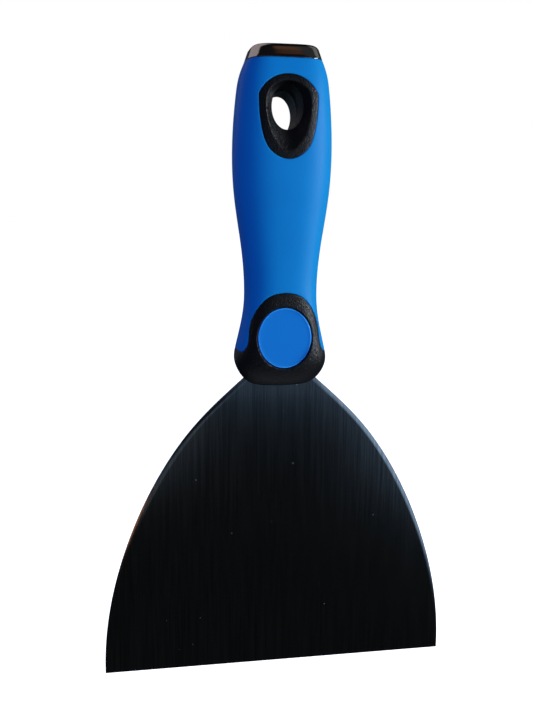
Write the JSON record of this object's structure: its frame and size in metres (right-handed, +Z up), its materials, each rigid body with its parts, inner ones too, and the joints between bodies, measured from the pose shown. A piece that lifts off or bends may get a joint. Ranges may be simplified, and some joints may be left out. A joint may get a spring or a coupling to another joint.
{
  "type": "drywall taping knife",
  "caption": "Wide flared stainless blade with a full tang in a soft two-colour handle that has a hanging hole and a chromed hammer cap.",
  "frame": {"origin": "middle of the blade's straight working edge, in the middle of its thickness", "axes": "+Z up the knife to the hammer cap, +X across the blade to the right as seen from the front, front face towards -Y"},
  "size_m": [0.1524, 0.0318, 0.2657],
  "materials": {
    "blade_steel": "polished stainless steel with fine lengthwise grinding lines",
    "core_plastic": "plain moulded polypropylene",
    "grip_rubber": "satin blue thermoplastic rubber",
    "collar_plastic": "fine-grained black thermoplastic rubber",
    "badge_rubber": "smooth satin blue plastic",
    "liner_plastic": "fine-grained black moulded plastic",
    "rivet_steel": "plain turned steel",
    "cap_chrome": "bright chrome plating",
    "block_steel": "plain machined steel"
  },
  "bodies": {
    "root": {"blade": "blade_steel", "core_front": "core_plastic", "core_rear": "core_plastic", "grip_sleeve": "grip_rubber", "bolster": "collar_plastic", "badge_front": "badge_rubber", "badge_rear": "badge_rubber", "hole_liner_front": "liner_plastic", "hole_liner_rear": "liner_plastic", "tang_rivets": "rivet_steel", "bolster_rivet": "rivet_steel", "rivet_washers": "rivet_steel", "cap_shell": "cap_chrome", "strike_block": "block_steel", "cap_pin": "rivet_steel"}
  },
  "joints": []
}
